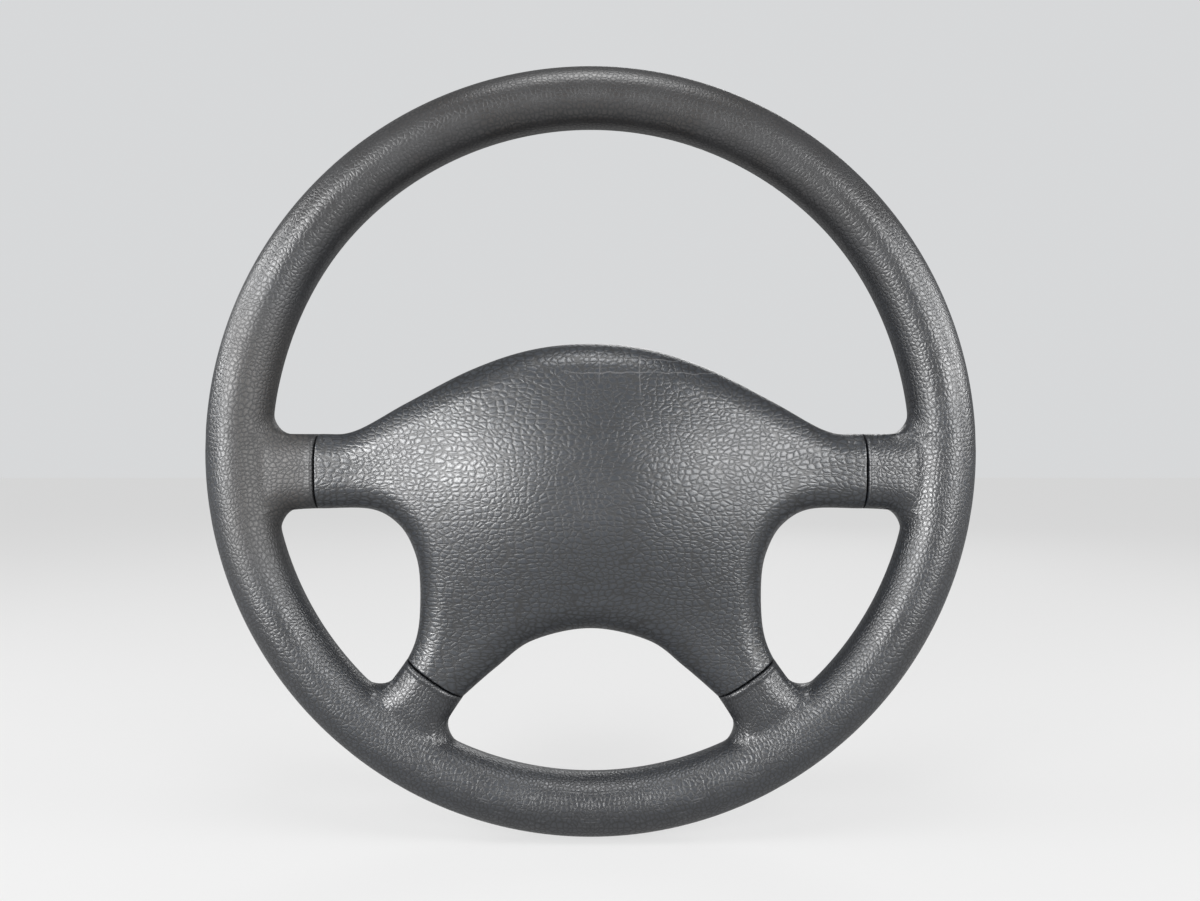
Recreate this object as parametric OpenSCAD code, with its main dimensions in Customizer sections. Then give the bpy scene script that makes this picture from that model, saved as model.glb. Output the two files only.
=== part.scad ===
// Car steering wheel with four spokes, an airbag module and a floating horn pad.
// Millimetres. The wheel's axis is Y, its face looks towards -Y and Z points up.
// The origin is on the column's axis, at the rear face of the hub.
// Inside this file the wheel is drawn flat: x right, y up, z towards the driver.

/* [Rim] */
// Outer diameter of the rim
rim_d = 385; // [375:1:395]
// Thickness of the rim, front to back
grip_d = 30; // [28:0.5:32]
// Extra width of the rim on its inner side, below the level spokes
grip_swell = 1.5; // [0.5:0.1:2.5]
// Height of the rim's middle plane above the hub's rear face
rim_height = 66; // [66:1:72]

/* [Spokes] */
// Distance from the wheel's centre to the seams of the two level spokes
seam_x = 137; // [134:0.5:140]
// Width of the level spokes at the seam
level_w = 37.4; // [35:0.2:40]
// How far the level spokes' middle line lies below the wheel's centre
level_drop = 9.9; // [8:0.1:12]
// Distance from the wheel's centre to the seams of the two lower spokes
low_seam = 138; // [136:0.5:140]
// Width of the lower spokes at the seam
low_w = 33.8; // [32:0.2:36]
// Angle of the lower spokes below level
low_angle = 55.5; // [54:0.5:57]
// Fillet between a spoke and the rim, seen from the front
spoke_fillet = 10; // [8:0.5:12]
// Height of the spokes' front face above the rim's middle plane
spoke_front = 10; // [9:0.5:11]
// Depth of the spokes' back face below the rim's middle plane
spoke_back = 18; // [17:0.5:19]
// Width over which the edges of spokes and pad are rounded
edge_round = 14; // [12:0.5:16]

/* [Horn pad] */
// Height of the pad's top edge above the wheel's centre
pad_top = 54; // [52:0.5:58]
// Half width of the pad at its shoulders
shoulder_x = 60; // [57:0.5:63]
// Height of the pad's shoulders above the wheel's centre
shoulder_y = 41; // [39.5:0.5:43]
// Half width of the pad at its waist
waist_x = 85.7; // [84:0.5:88]
// Depth of the pad's waist below the wheel's centre
waist_y = 78; // [76:0.5:80]
// Depth of the crown of the pad's lower arch below the wheel's centre
arch_y = 88.6; // [86:0.2:92]
// Height of the pad's crown above the rim's middle plane
pad_crown = 24; // [23:0.5:28]
// Thickness of the pad's skin
pad_skin = 3.5; // [3:0.1:3.6]
// Depth of the pad's edge below the rim's middle plane
pad_skirt = 10; // [9:0.5:10.5]
// Gap between the pad and the spokes at the four seams
seam_gap = 0.8; // [0.5:0.1:1.2]

/* [Rear cover] */
// Wall of the rear cover
cover_wall = 2.5; // [2:0.1:2.8]
// How far the rear cover reaches behind the hub's rear face
cover_depth = 8; // [7:0.5:12]
// Radius of the rear cover's flat bottom
cover_flat_r = 68; // [66:0.5:70]
// Radius of the opening for the steering column
column_hole_r = 28; // [26:0.5:32]

/* [Hub and armature] */
// Radius of the plain pilot bore that sits on the column
pilot_r = 8.75; // [8:0.05:9.5]
// Length of the pilot bore
pilot_l = 8; // [6:0.5:10]
// Number of teeth in the hub's spline
spline_teeth = 36; // [24:1:40]
// Radius of the steel hub insert
hub_r = 17; // [16:0.5:18]
// Length of the steel hub insert
hub_l = 26; // [24:0.5:28]
// Radius of the recess for the column nut
nut_r = 13; // [12.5:0.1:13.5]
// Thickness of the armature's hub plate
plate_t = 6; // [5:0.5:8]
// Width of the armature's spokes
core_w = 16; // [14:0.5:18]
// Width and height of the armature's rim section
core_d = 12; // [10:0.5:13]
// Wall of the armature's rim section and spokes
core_wall = 3; // [2.5:0.1:3.5]

/* [Horn mechanism] */
// How far the pad travels when the horn is pressed
horn_travel = 2; // [1:0.1:2.2]
// Distance of the guide bolts from the wheel's centre plane
bolt_x = 63; // [61:0.5:64]
// Shank diameter of the guide bolts
bolt_d = 8; // [7:0.5:9]
// Height of the gap between the two horn plates
spring_l = 6.5; // [6:0.1:7]
// Coil diameter of the horn springs, at the middle of the wire
spring_d = 10; // [8:0.5:11]
// Wire diameter of the horn springs
spring_wire = 1.1; // [0.9:0.1:1.3]
// Sheet thickness of the horn plates and the module frame
sheet_t = 1.5; // [1.2:0.1:1.8]

/* [Airbag module] */
// Diameter of the gas generator
inflator_d = 64; // [60:1:66]
// Width of the gas generator's flange, outside its shell
flange_w = 13; // [12:0.5:14]
// Height of the gas generator
inflator_h = 32; // [30:0.5:33]
// Wall of the gas generator's shells
shell_t = 2; // [1.6:0.1:2.4]
// Half width of the box that holds the folded airbag
box_x = 50; // [49:0.5:52]
// Top of the airbag box above the wheel's centre
box_up = 37.5; // [37:0.1:38.5]
// Bottom of the airbag box below the wheel's centre
box_down = 58; // [57:0.5:60]

/* [Hidden] */
$fn = 48;

// Rim
rim_r = rim_d / 2;
half_grip = grip_d / 2;
rim_in_top = rim_r - grip_d;
rim_in_low = rim_in_top - grip_swell;
core_r = rim_r - half_grip;
fit = 0.1;

// Heights along the wheel's axis
pad_edge_z = rim_height - pad_skirt;
cover_edge_z = pad_edge_z - horn_travel - 0.6;
cover_low_z = -cover_depth;
frame_z = pad_edge_z + 2.5;
top_plate_z = frame_z - 8.5;
base_plate_z = top_plate_z - spring_l - sheet_t;
inflator_z = base_plate_z + 0.3;
plate_z = 4;
hub_boss_h = 20;

// Fixed places on the plates: guide bolts, springs, screws and contacts on one side
bolt_y = -level_drop;
bolt_head_r = 6.5;
bolt_head_h = 4.5;
bush_r = 8;
sleeve_r = 7;
spring_spots = [[bolt_x - 1, bolt_y + 20], [bolt_x - 1, bolt_y - 20]];
screw_spots = [[bolt_x + 1, bolt_y + 34], [bolt_x + 1, bolt_y - 34]];
contact_spots = [[45, 32], [50, -46]];
contact_r = 2.5;
contact_gap = horn_travel + 0.05;
plate_x = bolt_x + 7;
plate_up = bolt_y + 40;
flange_r = inflator_d / 2 + flange_w;
plate_hole_r = flange_r + 2;
plate_down = bolt_y - plate_hole_r - 5;
cover_screws = [[38, 26], [40, -46]];
stud_pcd_r = flange_r - flange_w / 2;
stud_r = 2.5;
cover_screw_l = 8;
filter_out_r = 0.406 * inflator_d;
filter_in_r = 0.328 * inflator_d;
igniter_r = 0.164 * inflator_d;
igniter_neck_r = igniter_r - 2.6;
plate_screw_l = 10;
nut_h = 5.5;

// Colours
foam_grey = [0.17, 0.17, 0.18];
pad_grey = [0.15, 0.15, 0.16];
cover_black = [0.10, 0.10, 0.11];
cast_metal = [0.66, 0.67, 0.68];
steel = [0.52, 0.53, 0.55];
zinc = [0.70, 0.70, 0.66];
brass = [0.72, 0.58, 0.30];
nylon = [0.85, 0.84, 0.80];

// Small helpers for the curves
function mix(a, b, t) = a + (b - a) * t;
function polar(r, a) = [r * cos(a), r * sin(a)];
function turn(p, a) = [p.x * cos(a) - p.y * sin(a), p.x * sin(a) + p.y * cos(a)];
function limit(t) = min(1, max(0, t));
function ramp(x, lo, hi) = let (t = limit((x - lo) / (hi - lo))) t * t * (3 - 2 * t);
function quarter_round(s) = s >= 1 ? 1 : sqrt(1 - (1 - max(0, s)) ^ 2);
function flip(p) = [-p.x, p.y];
function backwards(list) = [for (i = [len(list) - 1:-1:0]) list[i]];

// Distance from a point to a line from a to b, and to the nearest line of a path
function to_line(p, a, b) =
    let (d = b - a, t = limit((p - a) * d / (d * d)))
    norm(p - a - t * d);
function to_path(p, path) = min([for (i = [1:len(path) - 1]) to_line(p, path[i - 1], path[i])]);

// Smooth curve through points; the first and last only steer it
function curve_point(a, b, c, d, t) =
    0.5 * (2 * b + (c - a) * t + (2 * a - 5 * b + 4 * c - d) * t ^ 2
        + (3 * b - a - 3 * c + d) * t ^ 3);
function curve(p, steps) = [
    for (i = [1:len(p) - 3])
        for (k = [0:steps - 1]) curve_point(p[i - 1], p[i], p[i + 1], p[i + 2], k / steps),
    p[len(p) - 2]
];

// A spoke is [angle, offset of its middle line, half width, seam distance, fillet]
level_spoke = [0, -level_drop, level_w / 2, seam_x, spoke_fillet];
low_spoke = [-low_angle, 0, low_w / 2, low_seam, spoke_fillet];

// Corner of a spoke at a distance along it, on its upper (1) or lower (-1) side
function spoke_corner(s, along, side) = turn([along, s[1] + side * s[2]], s[0]);

// Seam corners of the pad on the right, a gap short of the spokes
level_end = seam_x - seam_gap;
low_end = low_seam - seam_gap;
level_upper = spoke_corner(level_spoke, level_end, 1);
level_lower = spoke_corner(level_spoke, level_end, -1);
low_upper = spoke_corner(low_spoke, low_end, 1);
low_lower = spoke_corner(low_spoke, low_end, -1);

// The pad's three free edges on the right: top, side and arch
top_edge = curve([
    [-shoulder_x / 2, pad_top - 3], [0, pad_top], [shoulder_x / 2, pad_top - 3],
    [shoulder_x, shoulder_y], [mix(shoulder_x, level_end, 0.42), mix(shoulder_y, level_upper.y, 0.51)],
    [level_end - 18, level_upper.y + 1.6], level_upper, [level_end + 30, level_upper.y]
], 3);
side_edge = curve([
    [level_end + 20, level_lower.y], level_lower, [level_end - 26, level_lower.y - 0.3],
    [waist_x + 10.5, level_lower.y - 8], [waist_x + 3, level_lower.y - 20.5],
    [waist_x, -waist_y + 14], [waist_x + 0.7, -waist_y - 10], low_upper, low_upper + [9, -10]
], 2);
arch_edge = curve([
    low_lower + [7, -7], low_lower, [47, -arch_y - 19.4], [29, -arch_y - 6.2],
    [0, -arch_y], [-29, -arch_y - 6.2]
], 3);

// Points across a seam, closer together near its rounded corners
function across(a, b, steps) = [for (i = [1:steps - 1]) mix(a, b, (1 - cos(180 * i / steps)) / 2)];
seam_steps = 8;

// A free edge moved inwards by a wall's thickness, without its two ends
function moved(path, wall) = [
    for (i = [1:len(path) - 2])
        let (along = path[i + 1] - path[i - 1])
        path[i] + wall * [along.y, -along.x] / norm(along)
];

// Corner of the pad at a seam, and the pad's whole outline, both inside a wall
function pad_corner(s, end, side, wall) = turn([end - wall, s[1] + side * (s[2] - wall)], s[0]);
function half_outline(wall) =
    let (
        a = pad_corner(level_spoke, level_end, 1, wall),
        b = pad_corner(level_spoke, level_end, -1, wall),
        c = pad_corner(low_spoke, low_end, 1, wall),
        d = pad_corner(low_spoke, low_end, -1, wall)
    )
    concat(
        [[0, pad_top - wall]], moved(top_edge, wall), [a], across(a, b, seam_steps), [b],
        moved(side_edge, wall), [c], across(c, d, seam_steps), [d],
        moved(arch_edge, wall), [[0, -arch_y + wall]]
    );
function outline(wall) =
    let (half = half_outline(wall))
    concat(half, [for (i = [len(half) - 2:-1:1]) flip(half[i])]);
pad_outline = outline(0);

// Distance of a point inside the pad to the pad's nearest free edge
function edge_gap(p) =
    let (q = [abs(p.x), p.y])
    min(to_path(q, top_edge), to_path(q, side_edge), to_path(q, arch_edge));

// Front of the pad: a low dome, level with the spokes at the seams, rounded to its edge
function dome(p) =
    let (e = norm([p.x / 122, (p.y + 18) / 96]))
    mix(pad_crown, spoke_front, ramp(e, 0.1, 1.02));
function pad_front(p, wall) =
    rim_height - wall + dome(p) * quarter_round((edge_gap(p) - wall) / edge_round);

// Faces of a solid made of rings of equal length, closed by a point at each end
function rings_solid_faces(rings, n) = concat(
    [for (j = [0:rings - 2]) for (i = [0:n - 1]) for (half = [0, 1])
        let (k = (i + 1) % n)
        half == 0 ? [j * n + i, (j + 1) * n + i, (j + 1) * n + k]
            : [j * n + i, (j + 1) * n + k, j * n + k]],
    [for (i = [0:n - 1]) [rings * n, i, (i + 1) % n]],
    [for (i = [0:n - 1]) [rings * n + 1, (rings - 1) * n + (i + 1) % n, (rings - 1) * n + i]]
);

// Rings of points that shrink towards the middle, at a height given by the pad or the cover
function levels(rings) = [for (j = [0:rings - 1]) cos(90 * j / rings)];

// Shell of the pad: over its front from the middle, round its edge and back underneath
pad_rings = 8;
module pad_shell() {
    inner = outline(pad_skin);
    front = [for (k = backwards(levels(pad_rings)))
        for (p = pad_outline * k) [p.x, p.y, pad_front(p, 0)]];
    edge = concat([for (p = pad_outline) [p.x, p.y, pad_edge_z]], [for (p = inner) [p.x, p.y, pad_edge_z]]);
    under = [for (k = levels(pad_rings)) for (p = inner * k) [p.x, p.y, pad_front(p, pad_skin)]];
    middle = [[0, 0, pad_front([0, 0], 0)], [0, 0, pad_front([0, 0], pad_skin)]];
    polyhedron(concat(front, edge, under, middle),
        rings_solid_faces(2 * pad_rings + 2, len(pad_outline)));
}

// Side view of the rear cover's bowl, from the column's opening out past the seams
bowl_steps = 12;
function bowl_z(r) = mix(cover_low_z, rim_height - spoke_back, ramp(r, cover_flat_r, seam_x));
function bowl_line(lift) = [for (i = [0:bowl_steps])
    let (r = mix(cover_flat_r, seam_x + 12, i / bowl_steps)) [r, bowl_z(r) + lift]];
module cover_form(wall, z1) {
    r1 = seam_x + 12;
    low = cover_low_z + wall;
    intersection() {
        translate([0, 0, cover_low_z - 1]) linear_extrude(z1 - cover_low_z + 1)
            polygon(outline(wall));
        rotate_extrude() polygon(concat([[0, low]], bowl_line(wall), [[r1, z1], [0, z1]]));
    }
}

// Inner edge of the plain rim at an angle, a little wider in the lower half
function rim_in(a) = mix(rim_in_low, rim_in_top, ramp(a, 12, 45));

// One fillet of a spoke: its centre in the spoke's own frame, and its angle at the rim
function fillet_centre(s, side) =
    let (v = s[1] + side * (s[2] + s[4]))
    [sqrt((rim_in_low - s[4]) ^ 2 - v ^ 2), v];
function fillet_angle(s, side) = let (c = fillet_centre(s, side)) atan2(c.y, c.x);
fillet_steps = 4;
function fillet(s, side) =
    let (c = fillet_centre(s, side), a = fillet_angle(s, side))
    [for (i = [0:fillet_steps]) turn(c + polar(s[4], mix(a, -90 * side, i / fillet_steps)), s[0])];

// Stations round a spoke's end: inner point, whether it lies on the flat seam, outer angle
function running(path, i) = i == 0 ? 0 : running(path, i - 1) + norm(path[i] - path[i - 1]);
function spoke_stations(s) =
    let (
        upper = spoke_corner(s, s[3], 1),
        lower = spoke_corner(s, s[3], -1),
        seam = across(upper, lower, seam_steps),
        path = concat(fillet(s, 1), [upper], seam, [lower], backwards(fillet(s, -1))),
        first = fillet_steps + 1,
        last = first + seam_steps,
        whole = running(path, len(path) - 1),
        a = s[0] + fillet_angle(s, 1),
        b = s[0] + fillet_angle(s, -1)
    )
    [for (i = [0:len(path) - 1])
        [path[i], i > first && i < last, mix(a, b, running(path, i) / whole)]];

// Stations on a plain arc of the rim, between two angles
rim_step = 5.5;
function rim_stations(a, b, with_first) =
    let (steps = ceil((a - b) / rim_step))
    [for (i = [with_first ? 0 : 1:steps - 1])
        let (t = mix(a, b, i / steps)) [polar(rim_in(t), t), false, t]];

level_stations = spoke_stations(level_spoke);
low_stations = spoke_stations(low_spoke);
stations_right = concat(
    rim_stations(90, fillet_angle(level_spoke, 1), true),
    level_stations,
    rim_stations(fillet_angle(level_spoke, -1), -low_angle + fillet_angle(low_spoke, 1), false),
    low_stations,
    rim_stations(-low_angle + fillet_angle(low_spoke, -1), -90, false),
    [[polar(rim_in_low, -90), false, -90]]
);
stations = concat(stations_right, [for (i = [len(stations_right) - 2:-1:1])
    let (s = stations_right[i]) [flip(s[0]), s[1], 180 - s[2]]]);

// Edges of the moulding round each opening, on the right
upper_free = [for (i = [0:fillet_steps + 1]) level_stations[i][0]];
upper_rim = [for (t = [20, 15]) polar(rim_in(t), t)];
level_after = [for (i = [fillet_steps + 1 + seam_steps:len(level_stations) - 1]) level_stations[i][0]];
low_before = [for (i = [0:fillet_steps + 1]) low_stations[i][0]];
low_after = [for (i = [fillet_steps + 1 + seam_steps:len(low_stations) - 1]) low_stations[i][0]];
side_free = concat(level_after, low_before);
low_rim = [polar(rim_in_low, -75), polar(rim_in_low, -80)];
free_edges = [concat(upper_rim, upper_free), side_free, concat(low_after, low_rim)];
function moulding_gap(p) =
    let (q = [abs(p.x), p.y])
    min([for (e = free_edges) to_path(q, e)]);

// How much a point belongs to a spoke: 1 along it, 0 away from it and at the rim's outside
function on_spoke(p, s) =
    let (q = turn([abs(p.x), p.y], -s[0]), v = abs(q.y - s[1]))
    q.x < 0 ? 0 : (1 - ramp(v, s[2] + 2, s[2] + 22)) * (1 - ramp(norm(p), rim_in_low - 4, rim_r));

// Height of the moulding over the rim's middle plane, where a spoke has this height
blend_power = 5;
function moulding_height(p, spoke_h) =
    let (
        r = norm(p),
        inner = rim_in(abs(p.x) < 1e-6 && p.y < 0 ? -90 : atan2(p.y, abs(p.x))),
        half = (rim_r - inner) / 2,
        tube = half_grip * sqrt(max(0, 1 - ((r - rim_r + half) / half) ^ 2)),
        share = max(on_spoke(p, level_spoke), on_spoke(p, low_spoke)),
        bar = share == 0 ? 0 : spoke_h * share * quarter_round(moulding_gap(p) / edge_round)
    )
    (tube ^ blend_power + bar ^ blend_power) ^ (1 / blend_power);

// One section of the moulding: over the front from the inner point to the rim, then back
front_steps = 11;
back_steps = 9;
function section(s) =
    let (outer = polar(rim_r, s[2]))
    concat(
        [for (j = [0:front_steps - 1])
            let (p = mix(s[0], outer, (1 - cos(180 * j / front_steps)) / 2))
            [p.x, p.y, rim_height + (j == 0 && !s[1] ? 0 : moulding_height(p, spoke_front))]],
        [[outer.x, outer.y, rim_height]],
        [for (j = [back_steps - 1:-1:0])
            let (p = mix(s[0], outer, (1 - cos(180 * j / back_steps)) / 2))
            [p.x, p.y, rim_height - (j == 0 && !s[1] ? 0 : moulding_height(p, spoke_back))]]
    );
section_n = front_steps + back_steps + 1;

// Faces of the moulding; where a section closes at a sharp inner point, its ends are one
function corner_id(i, j) =
    let (k = i % len(stations))
    k * section_n + (j % section_n == section_n - 1 && !stations[k][1] ? 0 : j % section_n);
function distinct(f) = [for (i = [0:len(f) - 1]) if (f[i] != f[(i + 1) % len(f)]) f[i]];
moulding_faces = [
    for (i = [0:len(stations) - 1]) for (j = [0:section_n - 1]) for (half = [0, 1])
        let (
            a = corner_id(i, j), b = corner_id(i, j + 1),
            c = corner_id(i + 1, j + 1), d = corner_id(i + 1, j),
            f = distinct(half == 0 ? [a, b, c] : [a, c, d])
        )
        if (len(f) == 3) f
];

// Turns the flat drawing upright, with the wheel's face towards the driver
module upright() {
    rotate([90, 0, 0]) children();
}

// Places something on both sides of the wheel
module both_sides() {
    children();
    mirror([1, 0, 0]) children();
}

// Places something at each of the four spokes, x along the spoke
module each_spoke() {
    both_sides() {
        translate([0, -level_drop, 0]) children();
        rotate([0, 0, -low_angle]) children();
    }
}

// Upright cylinder at a spot of the drawing, between two heights
module pillar(spot, r, z0, z1) {
    translate([spot.x, spot.y, z0]) cylinder(r = r, h = z1 - z0);
}

// Section of the armature's rim: a channel open to the back
module rim_channel(grow) {
    outer = core_d / 2 + grow;
    inner = core_d / 2 - core_wall - grow;
    polygon([
        [-outer, -outer], [-inner, -outer], [-inner, inner], [inner, inner],
        [inner, -outer], [outer, -outer], [outer, outer], [-outer, outer]
    ]);
}

// Side view of one armature spoke, distance from the centre against height
spoke_side = [
    [24, plate_z + 0.5], [cover_flat_r + 8, plate_z + 0.5], [98, 21], [118, 43],
    [133, rim_height - 12], [core_r - core_d / 2 + 1.5, rim_height - 5],
    [core_r - core_d / 2 + 1.5, rim_height + 4.5], [150, rim_height + 3], [126, rim_height + 1],
    [108, rim_height - 11], [88, 31], [74, plate_z + 12], [24, plate_z + 12]
];
module spoke_bar(w) {
    translate([0, w / 2, 0]) rotate([90, 0, 0]) linear_extrude(w) polygon(spoke_side);
}

// Pocket in the back of an armature spoke, leaving a web and two flanges
module spoke_pocket() {
    translate([0, core_w / 2 - core_wall, 0]) rotate([90, 0, 0])
        linear_extrude(core_w - 2 * core_wall)
            polygon([
                [bolt_x + 14, plate_z - 1], [98 + 2, 21 - 3], [118 + 2, 43 - 3], [128, rim_height - 18],
                [126, rim_height - 8], [112, rim_height - 16], [94, 31], [bolt_x + 14, plate_z + 6]
            ]);
}

module armature_core(grow) {
    rotate_extrude() translate([core_r, rim_height]) rim_channel(grow);
    each_spoke() spoke_bar(core_w + 2 * grow);
}

module foam_rim() {
    color(foam_grey) upright() difference() {
        polyhedron([for (s = stations) each section(s)], moulding_faces);
        armature_core(fit);
    }
}

// Hub plate of the armature: a disc with two wings that carry the horn's base plate.
// The wings' corners are trimmed to stay clear of the rear cover's bowl.
module hub_plate() {
    wing_x = plate_x + 2;
    difference() {
        union() {
            cylinder(r = pad_top - 7, h = plate_t);
            intersection() {
                translate([-wing_x, bolt_y - 40, 0]) cube([2 * wing_x, 80, plate_t]);
                translate([0, 0, -1]) cylinder(r = wing_x + 12.5, h = plate_t + 2);
            }
        }
        for (spot = [[0, 35], [22, -34], [-22, -34]])
            translate([spot.x, spot.y, -1]) cylinder(r = 8, h = plate_t + 2);
    }
}

module armature() {
    top = base_plate_z;
    color(cast_metal) upright() difference() {
        union() {
            rotate_extrude() translate([core_r, rim_height]) rim_channel(0);
            each_spoke() difference() {
                spoke_bar(core_w);
                spoke_pocket();
            }
            translate([0, 0, plate_z]) hub_plate();
            pillar([0, 0], hub_r + 10, 1, hub_boss_h);
            both_sides() {
                for (s = screw_spots) pillar(s, 5, plate_z + 1, top);
                for (s = cover_screws) pillar(s, 5, cover_low_z + cover_wall, plate_z + 1);
                pillar([bolt_x, bolt_y], bolt_head_r + 4.5, plate_z + 1, plate_z + 13);
            }
        }
        pillar([0, 0], hub_r, -1, hub_boss_h + 1);
        both_sides() {
            pillar([bolt_x, bolt_y], bolt_head_r + 1.5, 0, plate_z + 14);
            for (s = screw_spots) pillar(s, 2.1, top - plate_screw_l - 2, top + 1);
            for (s = cover_screws) pillar(s, 1.7, cover_low_z, plate_z + plate_t + 1);
        }
    }
}

// Toothed outline of the hub's spline
module spline_outline() {
    tip = pilot_r - 0.5;
    root = tip - 0.9;
    polygon([for (i = [0:2 * spline_teeth - 1])
        polar(i % 2 == 0 ? tip : root, 180 * i / spline_teeth)]);
}

module hub_insert() {
    seat = hub_l - 6;
    color(steel) upright() difference() {
        union() {
            cylinder(r = hub_r, h = hub_l);
            pillar([0, 0], hub_r + 2.5, hub_boss_h, hub_boss_h + 2);
        }
        pillar([0, 0], pilot_r, -1, pilot_l);
        translate([0, 0, pilot_l - 1]) linear_extrude(seat) spline_outline();
        pillar([0, 0], nut_r, seat, hub_l + 1);
    }
}

module rear_cover() {
    color(cover_black) upright() difference() {
        cover_form(0, cover_edge_z);
        cover_form(cover_wall, cover_edge_z + 1);
        pillar([0, 0], column_hole_r, cover_low_z - 1, cover_low_z + cover_wall + 1);
        both_sides() {
            pillar([bolt_x, bolt_y], bolt_head_r + 1.5, cover_low_z - 1, plate_z + 6);
            for (s = cover_screws) pillar(s, 2.2, cover_low_z - 1, cover_low_z + cover_wall + 1);
        }
    }
}

// Screw with a domed head; its head faces the back (z down)
module screw(r, l, head_r, head_h) {
    cylinder(r = r, h = l);
    difference() {
        rotate_extrude() polygon([
            [0, 0], [head_r, 0], [head_r, -head_h * 0.4], [head_r * 0.7, -head_h], [0, -head_h]
        ]);
        translate([0, 0, -head_h - 1]) cylinder(r = head_r * 0.5, h = head_h * 0.6 + 1, $fn = 6);
    }
}

module rear_cover_screws() {
    color(zinc) upright() both_sides() for (s = cover_screws)
        translate([s.x, s.y, cover_low_z]) screw(1.6, cover_wall + cover_screw_l, 4, 2.5);
}

// Horn plate: a flat frame round the gas generator, with holes for what passes through
module horn_plate(z, bolt_hole, spots, hole_r) {
    difference() {
        translate([-plate_x, plate_down, z]) cube([2 * plate_x, plate_up - plate_down, sheet_t]);
        pillar([0, bolt_y], plate_hole_r, z - 1, z + sheet_t + 1);
        both_sides() {
            pillar([bolt_x, bolt_y], bolt_hole, z - 1, z + sheet_t + 1);
            for (s = spots) pillar(s, hole_r, z - 1, z + sheet_t + 1);
        }
    }
}

module horn_base_plate() {
    color(zinc) upright() horn_plate(base_plate_z, bolt_d / 2 + 1.6, screw_spots, 2.7);
}

module base_plate_screws() {
    top = base_plate_z + sheet_t;
    color(steel) upright() both_sides() for (s = screw_spots)
        translate([s.x, s.y, top]) mirror([0, 0, 1]) screw(2, plate_screw_l, 4.2, 2.6);
}

// Bush that guides one bolt through the base plate, with a collar on both faces
module guide_bush() {
    gap = 0.05;
    neck = bolt_d / 2 + 1.5;
    color(nylon) upright() difference() {
        union() {
            pillar([bolt_x, bolt_y], neck, base_plate_z - 1.5, base_plate_z + sheet_t + 1.5);
            pillar([bolt_x, bolt_y], bush_r, base_plate_z - 1.5, base_plate_z);
            pillar([bolt_x, bolt_y], bush_r, base_plate_z + sheet_t, base_plate_z + sheet_t + 1.5);
        }
        pillar([bolt_x, bolt_y], bolt_d / 2 + gap, base_plate_z - 3, base_plate_z + sheet_t + 3);
    }
}

module guide_bush_right() {
    guide_bush();
}

module guide_bush_left() {
    mirror([1, 0, 0]) guide_bush();
}

// Coil spring as a wire swept along a helix, with a flat turn at each end
module horn_spring(spot) {
    turns = 4;
    steps = 12;
    sides = 6;
    wire = spring_wire / 2;
    clear = 0.04;
    low = base_plate_z + sheet_t + wire + clear;
    rise = spring_l - 2 * wire - 2 * clear;
    count = turns * steps;
    points = [
        for (i = [0:count]) for (k = [0:sides - 1])
            let (
                a = 360 * i / steps,
                lift = rise * limit((i / steps - 0.75) / (turns - 1.5)),
                reach = spring_d / 2 + wire * cos(360 * k / sides)
            )
            [reach * cos(a), reach * sin(a), low + lift + wire * sin(360 * k / sides)]
    ];
    skin = [
        for (i = [0:count - 1]) for (k = [0:sides - 1]) for (half = [0, 1])
            let (
                m = (k + 1) % sides,
                a = i * sides + k, b = i * sides + m,
                c = (i + 1) * sides + m, d = (i + 1) * sides + k
            )
            half == 0 ? [a, b, c] : [a, c, d]
    ];
    ends = [[for (k = [sides - 1:-1:0]) k], [for (k = [0:sides - 1]) count * sides + k]];
    color(steel) upright() translate([spot.x, spot.y, 0]) polyhedron(points, concat(skin, ends));
}

module horn_spring_1() {
    horn_spring(spring_spots[0]);
}

module horn_spring_2() {
    horn_spring(flip(spring_spots[0]));
}

module horn_spring_3() {
    horn_spring(flip(spring_spots[1]));
}

module horn_spring_4() {
    horn_spring(spring_spots[1]);
}

// Contact buttons stand on the base plate and hang under the top plate
contact_h = (spring_l - contact_gap) / 2;
module fixed_contacts() {
    z = base_plate_z + sheet_t;
    color(brass) upright() both_sides() for (s = contact_spots) pillar(s, contact_r, z, z + contact_h);
}

module moving_contacts() {
    color(brass) upright() both_sides() for (s = contact_spots)
        pillar(s, contact_r, top_plate_z - contact_h, top_plate_z);
}

// Wall of the rigid frame inside the pad, from a to b; its top follows the skin's underside
box_wall = 2.5;
frame_gap = 0.5;
module box_side(a, b) {
    low = frame_z + sheet_t + 0.1;
    long = norm(b - a);
    side = box_wall / 2 * [a.y - b.y, b.x - a.x] / long;
    steps = 8;
    top = [for (i = [0:steps])
        let (p = mix(a, b, i / steps))
        [long * i / steps, min(pad_front(p + side, pad_skin), pad_front(p - side, pad_skin)) - frame_gap]];
    translate([a.x, a.y, 0]) rotate([0, 0, atan2(b.y - a.y, b.x - a.x)])
        translate([0, box_wall / 2, 0]) rotate([90, 0, 0])
            linear_extrude(box_wall) polygon(concat([[0, low]], top, [[long, low]]));
}

// Rigid frame that the pad's skin is moulded over: four walls round the airbag
module pad_frame() {
    x = box_x - box_wall / 2;
    up = box_up - box_wall / 2;
    down = -box_down + box_wall / 2;
    half = box_wall / 2;
    color(cover_black) upright() difference() {
        union() {
            box_side([-x - half, up], [x + half, up]);
            box_side([-x - half, down], [x + half, down]);
            box_side([x, down], [x, up]);
            box_side([-x, down], [-x, up]);
        }
        rivet_spots() cylinder(r = rivet_r + 0.05, h = 30, center = true);
    }
}

// Rivets lie across the box's left and right walls
rivet_r = 2;
rivet_z = frame_z + sheet_t + 5;
module rivet_spots() {
    for (side = [-1, 1]) for (y = [-box_down + 14, box_up - 14])
        translate([side * box_x, y, rivet_z]) rotate([0, 90, 0]) children();
}

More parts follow.
